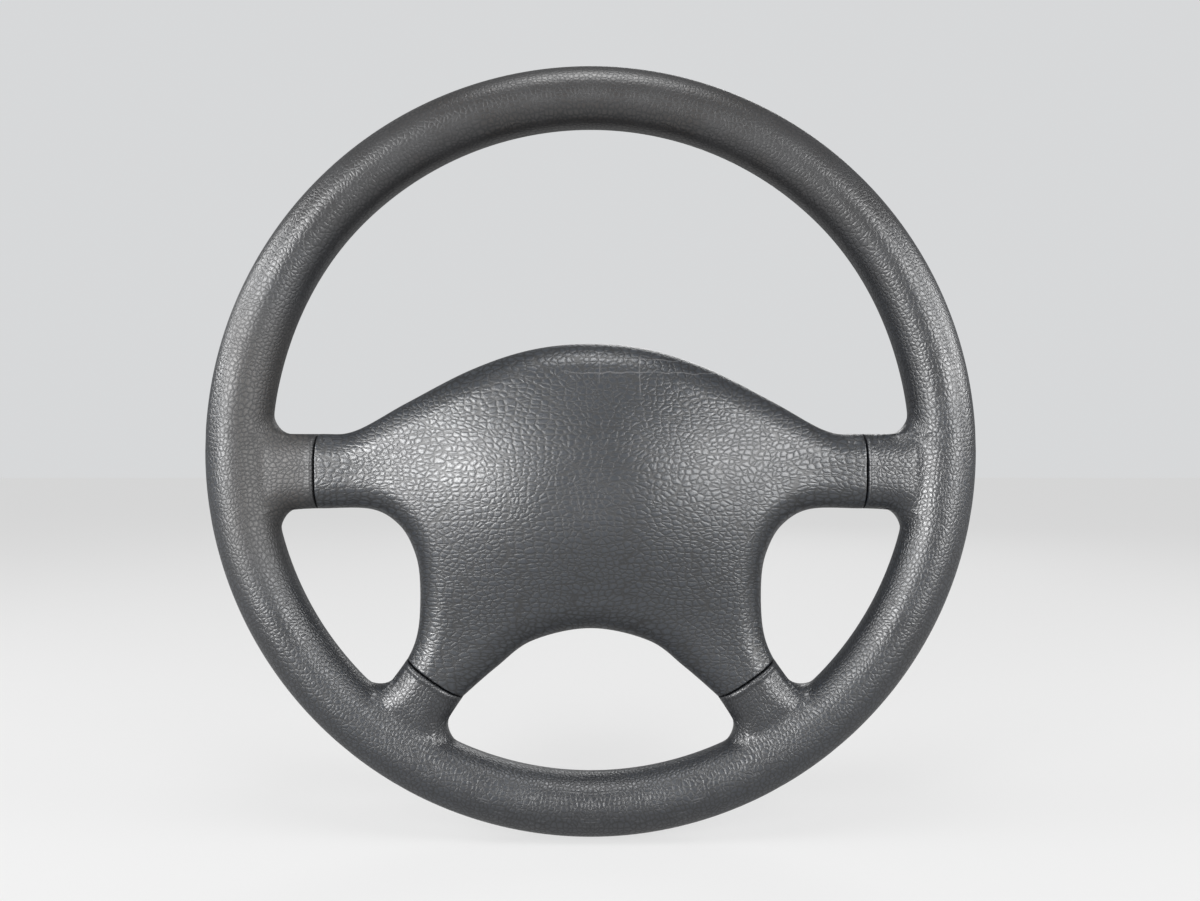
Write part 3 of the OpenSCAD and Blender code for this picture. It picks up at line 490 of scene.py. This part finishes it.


# What both grained skins do with their grain: valleys painted dark as shade, dull valleys, pale
# marks, relief
def finish_grain(tree, shader, grains, base, marks, pale, shine, height):
    # Painted shade: the grain's valleys take the dark colour, the tops the skin's own
    skin = tint(tree, grains["Tops"], PAINTED_VALLEY_SHADE, base)
    tree.links.new(tint(tree, marks, skin, pale), shader.inputs["Base Color"])
    in_valley = maths(tree, "SUBTRACT", 1.0, grains["Tops"])
    dulled = maths(tree, "MULTIPLY_ADD", in_valley, VALLEY_DULLS, shine)
    tree.links.new(dulled, shader.inputs["Roughness"])
    roughen(tree, shader, height, GRAIN_DEPTH_MM)
    shader.inputs["Specular IOR Level"].default_value = 1.0


rim_skin, tree, shader = new_material("rim_polyurethane")
ring = add(tree, "ShaderNodeGroup", node_tree=hoop).outputs["Place"]
grains = add(tree, "ShaderNodeGroup", {"Place": ring, "Pebble mm": 2.4, "Creases": 0.35},
             node_tree=grain).outputs
wear = add(tree, "ShaderNodeGroup", {"Place": ring}, node_tree=handling).outputs
axes = axes_of(tree, place_mm(tree))
near_top = smooth_step(tree, axes["Z"], 40.0, 185.0)
# The left hand's place is browner and duller, and so is the top
leftward = maths(tree, "MULTIPLY", axes["X"], -1.0)
on_left = maths(tree, "MULTIPLY", smooth_step(tree, leftward, 128.0, 146.0),
                smooth_step(tree, leftward, 184.0, 170.0))
off_level = maths(tree, "ABSOLUTE", maths(tree, "SUBTRACT", axes["Z"], 8.0))
gripped = maths(tree, "MULTIPLY", on_left, smooth_step(tree, off_level, 95.0, 30.0))
browned = maths(tree, "MULTIPLY_ADD", near_top, 0.7,
                maths(tree, "MULTIPLY", wear["Rubbed"], 0.3))
browned = maths(tree, "MAXIMUM", browned, gripped)
base = tint(tree, browned, DARK_SKIN, (0.030, 0.0265, 0.0245, 1))
# The underside has pale scuffs that run round the hoop
streaks = add(tree, "ShaderNodeMapping", {"Vector": ring, "Scale": (0.10, 1.1, 1.0)})
streaks = noise(tree, streaks.outputs[0], 1.0, detail=3.0)
scuffed = maths(tree, "MULTIPLY", smooth_step(tree, streaks["Fac"], 0.62, 0.74),
                smooth_step(tree, axes["Z"], -90.0, -165.0))
marks = maths(tree, "MULTIPLY_ADD", wear["Dust"], 0.14, maths(tree, "MULTIPLY", scuffed, 0.3))
shine = maths(tree, "MULTIPLY_ADD", wear["Rubbed"], -0.08, 0.34)
shine = maths(tree, "MULTIPLY_ADD", gripped, 0.2, shine)
worn_flat = maths(tree, "MULTIPLY_ADD", near_top, -0.5, 1.0)
finish_grain(tree, shader, grains, base, marks, (0.18, 0.18, 0.185, 1), shine,
             maths(tree, "MULTIPLY", grains["Height"], worn_flat))
rim.data.materials.append(rim_skin)
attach(rim, WHEEL)
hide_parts("foam_rim")


# ---------------------------------------------------------------------------
# Rear cover: a black injection-moulded bowl that hides the back of the hub.
# Four pan-head screws hold it to posts on the armature.
def plastic(name, dark, light, rough, tooth_mm=0.9, depth_mm=0.05):
    finish, tree, shader = new_material(name)
    skin = add(tree, "ShaderNodeGroup", {"Stain mm": 22.0, "Tooth mm": tooth_mm},
               node_tree=mottle).outputs
    wear = add(tree, "ShaderNodeGroup", {"Place": place_mm(tree)}, node_tree=handling).outputs
    colour = tint(tree, skin["Stain"], dark, light)
    dusty = maths(tree, "MULTIPLY", wear["Dust"], 0.1)
    tree.links.new(tint(tree, dusty, colour, grey(0.22, 0.03)), shader.inputs["Base Color"])
    gloss = between(tree, wear["Rubbed"], rough + 0.08, rough - 0.05)
    tree.links.new(gloss, shader.inputs["Roughness"])
    roughen(tree, shader, skin["Tooth"], depth_mm)
    return finish


black_moulding = plastic("black_moulding", grey(0.026), grey(0.034), 0.5)
dress("rear_cover", black_moulding, 0)
zinc_plate = metal("zinc_plating", grey(0.50, 0.03), grey(0.62, 0.03), 0.34,
                   stain_mm=6, tooth_mm=0.4, depth_mm=0.02)
dress("rear_cover_screws", zinc_plate, 0)


# ---------------------------------------------------------------------------
# Horn base plate: pressed from zinc-plated sheet and screwed to four posts of
# the armature. Nylon bushes snap into it and guide the module's bolts.
dress("horn_base_plate", zinc_plate, 0.2)
dress("base_plate_screws", turned_steel, 0)
natural_nylon = plastic("natural_nylon", grey(0.62, 0.04), grey(0.74, 0.04), 0.4, depth_mm=0.02)
for side in ("left", "right"):
    dress(f"guide_bush_{side}", natural_nylon, 0.2)


# ---------------------------------------------------------------------------
# Horn springs: four coils of drawn wire with flat end turns. They stand on the
# base plate, push the pad forward and shorten as the horn is pressed.
drawn_wire = metal("drawn_spring_wire", grey(0.30), grey(0.40), 0.32,
                   stain_mm=3, tooth_mm=0.25, depth_mm=0.015)
SPRING_R, WIRE_R, TURNS = 5.0 * MM, 0.55 * MM, 4
TURN_STEPS, WIRE_SIDES, FLAT_TURNS = 40, 12, 0.75
turns = np.arange(TURNS * TURN_STEPS + 1) / TURN_STEPS
lift = np.clip((turns - FLAT_TURNS) / (TURNS - 2 * FLAT_TURNS), 0, 1)
angle = 2 * np.pi * turns
radial = np.stack([np.cos(angle), np.zeros_like(angle), np.sin(angle)], 1)
around = 2 * np.pi * np.arange(WIRE_SIDES) / WIRE_SIDES
section = (radial[:, None] * np.cos(around)[None, :, None]
           + np.array([0, 1, 0]) * np.sin(around)[None, :, None]) * WIRE_R
last_ring = (len(turns) - 1) * WIRE_SIDES
spring_faces = grid_faces(len(turns), WIRE_SIDES, False).tolist()
spring_faces += [list(range(WIRE_SIDES)), list(range(last_ring, last_ring + WIRE_SIDES))]
for number in range(1, 5):
    low_corner, high_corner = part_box(f"horn_spring_{number}")
    middle_x, middle_z = ((low_corner[i] + high_corner[i]) / 2 for i in (0, 2))
    height = mix(high_corner[1] - WIRE_R, low_corner[1] + WIRE_R, lift)
    centre = radial * SPRING_R + np.stack(
        [np.full_like(height, middle_x), height, np.full_like(height, middle_z)], 1)
    wire = centre[:, None] + section
    spring = mesh_piece(f"spring_coil_{number}", wire.reshape(-1, 3), spring_faces)
    spring.data.materials.append(drawn_wire)
    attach(spring, WHEEL)
    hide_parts(f"horn_spring_{number}")
    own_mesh(spring)


# ---------------------------------------------------------------------------
# Horn contacts: brass buttons riveted to both plates. The circuit closes where
# the upper ones come down on the lower ones.
contact_brass = metal("contact_brass", (0.50, 0.36, 0.14, 1), (0.66, 0.50, 0.22, 1), 0.28,
                      stain_mm=2.5, tooth_mm=0.3, depth_mm=0.01)
dress("fixed_contacts", contact_brass, 0.15)
dress("moving_contacts", contact_brass, 0.15)


# ---------------------------------------------------------------------------
# Module frame and horn top plate: two flat pressings that the shoulder bolts
# hold apart with steel sleeves. The frame carries the airbag and the pad.
pressed_steel = metal("pressed_steel", grey(0.36), grey(0.47), 0.38,
                      stain_mm=12, tooth_mm=0.5, depth_mm=0.03)
dress("module_frame", pressed_steel, 0.2)
dress("horn_top_plate", zinc_plate, 0.2)
for side in ("left", "right"):
    dress(f"sleeve_{side}", zinc_plate, 0.2)
dress("module_bolts", turned_steel, 0)
dress("module_nuts", zinc_plate, 0)


# ---------------------------------------------------------------------------
# Gas generator: two drawn steel shells with a wound filter, an igniter and
# pressed propellant inside. Four studs of the retainer ring clamp its flange.
dress("inflator_base", pressed_steel, 0.2)
dress("inflator_cap", pressed_steel, 0.2)
dress("inflator_filter", drawn_wire, 0.2)
dress("inflator_igniter", contact_brass, 0.15)
pressed_powder = plastic("pressed_propellant", grey(0.34, 0.16), grey(0.44, 0.16), 0.75,
                         tooth_mm=0.7, depth_mm=0.12)
dress("inflator_propellant", pressed_powder, 0.2)
dress("retainer_ring", zinc_plate, 0.2)
dress("inflator_nuts", zinc_plate, 0)


# ---------------------------------------------------------------------------
# Airbag: coated woven nylon, pleated back and forth into a block over the gas
# generator. Each fold is a soft flattened roll, and it presses on the next.
BOX_X, BOX_UP, BOX_DOWN, PLEATS = 50.0, 37.5, 58.0, 6
SIDE_ROOM, END_ROOM, MOUTH_R, MOUTH_LAYERS = 6.3, 5.3, 33.2, 3
FOLD_LOW, FOLD_TOP, TAPER, SWEEP_STEPS, FOLD_STEPS = 61.8, 83.5, 0.62, 160, 20
pleat = (FOLD_TOP - FOLD_LOW) / PLEATS
sweep = 2 * np.pi * np.arange(SWEEP_STEPS) / SWEEP_STEPS
corner = (np.abs(np.cos(sweep)) ** 5 + np.abs(np.sin(sweep)) ** 5) ** -0.2
points, faces = [], []
for layer in range(PLEATS):
    shrink = 1 - TAPER * max(0.0, (layer - 1) / PLEATS)
    half_x = (BOX_X - SIDE_ROOM) * shrink
    half_y = ((BOX_UP + BOX_DOWN) / 2 - END_ROOM) * shrink
    edge_line = np.stack([half_x * corner * np.cos(sweep), half_y * corner * np.sin(sweep)], 1)
    edge_line[:, 1] += (BOX_UP - BOX_DOWN) / 2
    wave = 0.35 * np.sin(7 * sweep + layer * 1.7) + 0.2 * np.sin(17 * sweep + layer)
    crumple = wave * 0.5 * (1 if 0 < layer < PLEATS - 1 else 0)
    mouth = polar(MOUTH_R if layer < MOUTH_LAYERS else 1.0, np.degrees(sweep)).T
    mouth = mouth + [0, LEVEL_SPOKE.offset]
    fold_middle = FOLD_LOW + (layer + 0.5) * pleat
    ring = []
    for fold_turn in 2 * np.pi * np.arange(FOLD_STEPS) / FOLD_STEPS:
        flat = mix(mouth, edge_line, 0.5 + 0.5 * math.cos(fold_turn))
        bulge = math.sin(fold_turn)
        swell = pleat * 0.49 * math.copysign(abs(bulge) ** 0.6, bulge)
        ring.append(upright_mm(flat, fold_middle + swell + crumple * bulge ** 2))
    faces.append(grid_faces(SWEEP_STEPS, FOLD_STEPS, True, sum(len(p) for p in points)))
    points.append(np.stack(ring, 1).reshape(-1, 3))
airbag = mesh_piece("folded_airbag", np.vstack(points), np.vstack(faces))

airbag_cloth, tree, shader = new_material("coated_nylon_weave")
threads = []
for direction in ("X", "Z"):
    thread = add(tree, "ShaderNodeTexWave",
                 {"Vector": place_mm(tree), "Scale": 0.9, "Distortion": 0.6},
                 bands_direction=direction, wave_profile="SIN")
    threads.append(thread.outputs["Fac"])
weave = maths(tree, "MULTIPLY", threads[0], threads[1])
cloth = tint(tree, weave, (0.56, 0.53, 0.46, 1), (0.74, 0.71, 0.64, 1))
tree.links.new(cloth, shader.inputs["Base Color"])
shader.inputs["Roughness"].default_value = 0.7
shader.inputs["Sheen Weight"].default_value = 0.2
roughen(tree, shader, weave, 0.1)
airbag.data.materials.append(airbag_cloth)
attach(airbag, MODULE)
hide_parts("airbag_cushion")


# ---------------------------------------------------------------------------
# Pad frame and rivets: a rigid black box inside the horn pad. The soft skin is
# moulded over it, and four rivets fix it to the module frame.
dress("pad_frame", black_moulding, 0)
dress("cover_rivets", zinc_plate, 0.15)


# ---------------------------------------------------------------------------
# Horn pad: a soft skin moulded with the same leather grain, 3.5 mm thick. Its
# dome meets the four stubs with a narrow gap and rolls back at its free edges.
PAD_TOP, SHOULDER_X, SHOULDER_Y = 54.0, 60.0, 41.0
WAIST_X, WAIST_Y, ARCH_Y = 85.7, 78.0, 88.6
PAD_CROWN, PAD_SKIN, PAD_EDGE_Z, SEAM_GAP, PAD_ROUND = 24.0, 3.5, 56.0, 0.8, 0.6
DOME_X, DOME_Y, DOME_DROP = 122, 96, 18


def smooth_curve(points, steps):
    points = np.array(points, float)
    out = []
    for i in range(1, len(points) - 2):
        a, b, c, d = points[i - 1:i + 3]
        for t in np.arange(steps) / steps:
            out.append(0.5 * (2 * b + (c - a) * t + (2 * a - 5 * b + 4 * c - d) * t ** 2
                              + (3 * b - a - 3 * c + d) * t ** 3))
    return np.array(out + [points[-2]])


level_end, low_end = LEVEL_SPOKE.seam - SEAM_GAP, LOW_SPOKE.seam - SEAM_GAP
a_corner, b_corner = (spoke_corner(LEVEL_SPOKE, level_end, side) for side in (1, -1))
c_corner, d_corner = (spoke_corner(LOW_SPOKE, low_end, side) for side in (1, -1))
top_edge = smooth_curve([
    [-SHOULDER_X / 2, PAD_TOP - 3], [0, PAD_TOP], [SHOULDER_X / 2, PAD_TOP - 3],
    [SHOULDER_X, SHOULDER_Y],
    [mix(SHOULDER_X, level_end, 0.42), mix(SHOULDER_Y, a_corner[1], 0.51)],
    [level_end - 18, a_corner[1] + 1.6], a_corner, [level_end + 30, a_corner[1]]], 14)
side_edge = smooth_curve([
    [level_end + 20, b_corner[1]], b_corner, [level_end - 26, b_corner[1] - 0.3],
    [WAIST_X + 10.5, b_corner[1] - 8], [WAIST_X + 3, b_corner[1] - 20.5],
    [WAIST_X, -WAIST_Y + 14], [WAIST_X + 0.7, -WAIST_Y - 10], c_corner, c_corner + [9, -10]], 10)
arch_edge = smooth_curve([
    d_corner + [7, -7], d_corner, [47, -ARCH_Y - 19.4], [29, -ARCH_Y - 6.2],
    [0, -ARCH_Y], [-29, -ARCH_Y - 6.2]], 14)


def moved_in(path, wall):
    along = path[2:] - path[:-2]
    across = np.stack([along[:, 1], -along[:, 0]], 1) / np.linalg.norm(along, axis=1)[:, None]
    return path[1:-1] + wall * across


def pad_outline(wall):
    def corner(spoke, end, side):
        return turn([end - wall, spoke.offset + side * (spoke.half - wall)], spoke.angle)
    a, b = (corner(LEVEL_SPOKE, level_end, side) for side in (1, -1))
    c, d = (corner(LOW_SPOKE, low_end, side) for side in (1, -1))
    half = np.vstack([[[0, PAD_TOP - wall]],
                      moved_in(top_edge, wall), a, seam_points(a[0], b[0], SEAM_STEPS), b,
                      moved_in(side_edge, wall), c, seam_points(c[0], d[0], SEAM_STEPS), d,
                      moved_in(arch_edge, wall), [[0, -ARCH_Y + wall]]])
    return np.vstack([half, half[len(half) - 2:0:-1] * [-1, 1]])


def pad_front(points, wall):
    q = right_side(points)
    gap = np.min([gap_to(q, path) for path in (top_edge, side_edge, arch_edge)], axis=0) - wall
    spread = np.hypot(points[:, 0] / DOME_X, (points[:, 1] + DOME_DROP) / DOME_Y)
    dome = mix(PAD_CROWN, SPOKE_FRONT, ramp(spread, 0.1, 1.02))
    seam = np.maximum(past_seam(points, -1) - SEAM_GAP - wall, 0)
    edge = PAD_ROUND * (1 - quarter_round(seam / PAD_ROUND)) * ramp(gap, 0, 1)
    return RIM_Z - wall + dome * quarter_round(gap / EDGE_ROUND) - edge


# The rear edge rises at each seam into a gate, through which the armature's spoke passes
PAD_RINGS, GATE_HALF, GATE_RISE = 44, 11.5, 4.5


def rear_edge(outline, wall):
    gated = np.zeros(len(outline), bool)
    for spoke, end in ((LEVEL_SPOKE, level_end), (LOW_SPOKE, low_end)):
        q = turn(right_side(outline), -spoke.angle)
        gated |= (q[:, 0] > end - wall - 0.1) & (np.abs(q[:, 1] - spoke.offset) < GATE_HALF)
    return np.where(gated, RIM_Z + GATE_RISE, PAD_EDGE_Z)


outside, inside, lip = pad_outline(0.0), pad_outline(PAD_SKIN), pad_outline(0.5)
shares = np.cos(np.pi / 2 * np.arange(PAD_RINGS) / PAD_RINGS)
edge = rear_edge(outside, 0.0) + PAD_ROUND
rings = [upright_mm(outside * k, pad_front(outside * k, 0.0)) for k in shares[::-1]]
rings += [upright_mm(outside, np.maximum(edge, RIM_Z - 3)), upright_mm(outside, edge),
          upright_mm(lip, rear_edge(lip, 0.5)), upright_mm(inside, rear_edge(inside, PAD_SKIN))]
rings += [upright_mm(inside * k, pad_front(inside * k, PAD_SKIN)) for k in shares]
middle = np.zeros((1, 2))
points = np.vstack(rings + [upright_mm(middle, pad_front(middle, 0.0)),
                            upright_mm(middle, pad_front(middle, PAD_SKIN))])
count = len(outside)
front_middle, last_ring = len(rings) * count, (len(rings) - 1) * count
faces = grid_faces(len(rings), count, False).tolist()
faces += [[front_middle, i, (i + 1) % count] for i in range(count)]
faces += [[front_middle + 1, last_ring + (i + 1) % count, last_ring + i] for i in range(count)]
pad = mesh_piece("horn_pad_skin", points, faces)

# The grain lies on the pad seen from the front, and is drawn out down its walls
pad_skin, tree, shader = new_material("pad_leather_grain")
spot = place_mm(tree)
on_pad = axes_of(tree, spot)
deep = maths(tree, "MAXIMUM", maths(tree, "ADD", on_pad["Y"], RIM_Z + 6.0), 0.0)
facing = add(tree, "ShaderNodeTexCoord").outputs["Normal"]
unrolled = vector_maths(tree, "ADD", spot, vector_maths(tree, "SCALE", facing, deep))
unrolled = axes_of(tree, unrolled)
laid = add(tree, "ShaderNodeCombineXYZ", {"X": maths(tree, "MULTIPLY", unrolled["X"], 0.66),
                                          "Y": unrolled["Z"]}).outputs[0]
grains = add(tree, "ShaderNodeGroup", {"Place": laid, "Pebble mm": 2.35, "Creases": 0.8},
             node_tree=grain).outputs
wear = add(tree, "ShaderNodeGroup", {"Place": spot}, node_tree=handling).outputs
base = tint(tree, wear["Rubbed"], DARK_SKIN, (0.031, 0.035, 0.041, 1))
# Fine pale scratches above the middle, each along one axis at a fixed place on the other
shaken = noise(tree, spot, 0.12, detail=1.0)["Fac"]
scratched = 0.0
for run, fixed, at, start, end in (("Z", "X", 4.7, 31.0, 52.0), ("Z", "X", 24.0, 24.0, 49.0),
                                   ("X", "Z", 38.4, -16.0, 80.0), ("X", "Z", 45.0, 2.0, 46.0)):
    aside = maths(tree, "MULTIPLY_ADD", shaken, 3.0, -1.5 - at)
    aside = maths(tree, "ABSOLUTE", maths(tree, "ADD", on_pad[fixed], aside))
    within = maths(tree, "MULTIPLY", smooth_step(tree, on_pad[run], start, start + 6),
                   smooth_step(tree, on_pad[run], end, end - 6))
    mark = maths(tree, "MULTIPLY", smooth_step(tree, aside, 0.42, 0.1), within)
    scratched = maths(tree, "MAXIMUM", scratched, mark)
marks = maths(tree, "MULTIPLY_ADD", wear["Dust"], 0.10,
              maths(tree, "MULTIPLY", scratched, 0.35))
shine = maths(tree, "MULTIPLY_ADD", wear["Rubbed"], -0.06, 0.33)
finish_grain(tree, shader, grains, base, marks, (0.17, 0.17, 0.175, 1), shine, grains["Height"])
pad.data.materials.append(pad_skin)
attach(pad, MODULE)
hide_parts("pad_cover")


# ---------------------------------------------------------------------------
# Studio: a pale floor that the rim stands on, a pale room, six soft lamps and a
# camera straight in front of the wheel, close enough to show its depth.
scene = bpy.context.scene
scene.view_settings.view_transform = "Standard"
FLOOR_Z, FLOOR_HALF = -0.1927, 6
corners = [(-1, -1), (1, -1), (1, 1), (-1, 1)]
floor_mesh = bpy.data.meshes.new("floor")
floor_mesh.from_pydata([(x * FLOOR_HALF, y * FLOOR_HALF, FLOOR_Z) for x, y in corners], [],
                       [(0, 1, 2, 3)])
floor = bpy.data.objects.new("floor", floor_mesh)
scene.collection.objects.link(floor)


# How much of the room's own paleness a ray meets: all for the camera, a share in a mirror
def seen_share(tree, in_mirror):
    path = add(tree, "ShaderNodeLightPath").outputs
    mirrored = maths(tree, "MAXIMUM", path["Is Glossy Ray"], path["Is Transmission Ray"])
    return maths(tree, "MAXIMUM", path["Is Camera Ray"],
                 maths(tree, "MULTIPLY", mirrored, in_mirror))


paper, tree, shader = new_material("pale_floor")
shader.inputs["Base Color"].default_value = grey(0.17)
shader.inputs["Roughness"].default_value = 0.9
clear = add(tree, "ShaderNodeBsdfTransparent")
from_below = add(tree, "ShaderNodeNewGeometry").outputs["Backfacing"]
glow = maths(tree, "MULTIPLY", seen_share(tree, 0.45), 0.88)
pale = add(tree, "ShaderNodeEmission", {"Color": grey(0.72), "Strength": glow})
lit_floor = add(tree, "ShaderNodeAddShader", {0: shader.outputs[0], 1: pale.outputs[0]})
cut = add(tree, "ShaderNodeMixShader",
          {0: from_below, 1: lit_floor.outputs[0], 2: clear.outputs[0]})
tree.links.new(cut.outputs[0], tree.nodes["Material Output"].inputs["Surface"])
floor_mesh.materials.append(paper)

world = bpy.data.worlds.new("pale_room")
scene.world = world
world.use_nodes = True
tree = world.node_tree
backdrop = tree.nodes["Background"]
backdrop.inputs["Color"].default_value = (0.80, 0.81, 0.82, 1)
room_light = maths(tree, "MULTIPLY_ADD", seen_share(tree, 0.3), 0.77, 0.08)
tree.links.new(room_light, backdrop.inputs["Strength"])


def lamp(name, place, aim, size, watts):
    light = bpy.data.lights.new(name, "AREA")
    light.shape, light.size, light.energy = "DISK", size, watts
    lit = bpy.data.objects.new(name, light)
    lit.location = place
    lit.rotation_mode = "QUATERNION"
    lit.rotation_quaternion = (Vector(aim) - Vector(place)).to_track_quat("-Z", "Y")
    scene.collection.objects.link(lit)


lamp("lamp_left", (-0.9, -1.2, 0.2), (0, -0.07, 0), 0.7, 22)
lamp("lamp_right", (0.88, -1.22, 0.2), (0, -0.07, 0), 0.7, 14)
lamp("lamp_left_side", (-1.2, -0.25, 0.5), (-0.1, -0.07, 0), 0.6, 9)
lamp("lamp_right_side", (1.2, -0.3, 0.4), (0.1, -0.07, 0), 0.6, 8)
lamp("lamp_top", (0.0, -0.5, 1.3), (0, -0.07, 0), 0.6, 6)
lamp("lamp_back", (0.3, 1.4, 0.8), (0, -0.03, 0), 0.8, 5)

camera = bpy.data.objects.new("camera", bpy.data.cameras.new("camera"))
camera.data.lens = 27.57
camera.data.clip_start = 0.01
camera.location = (0.0047, -0.528, 0.0005)
camera.rotation_euler = (math.radians(90), 0, 0)
scene.collection.objects.link(camera)
scene.camera = camera
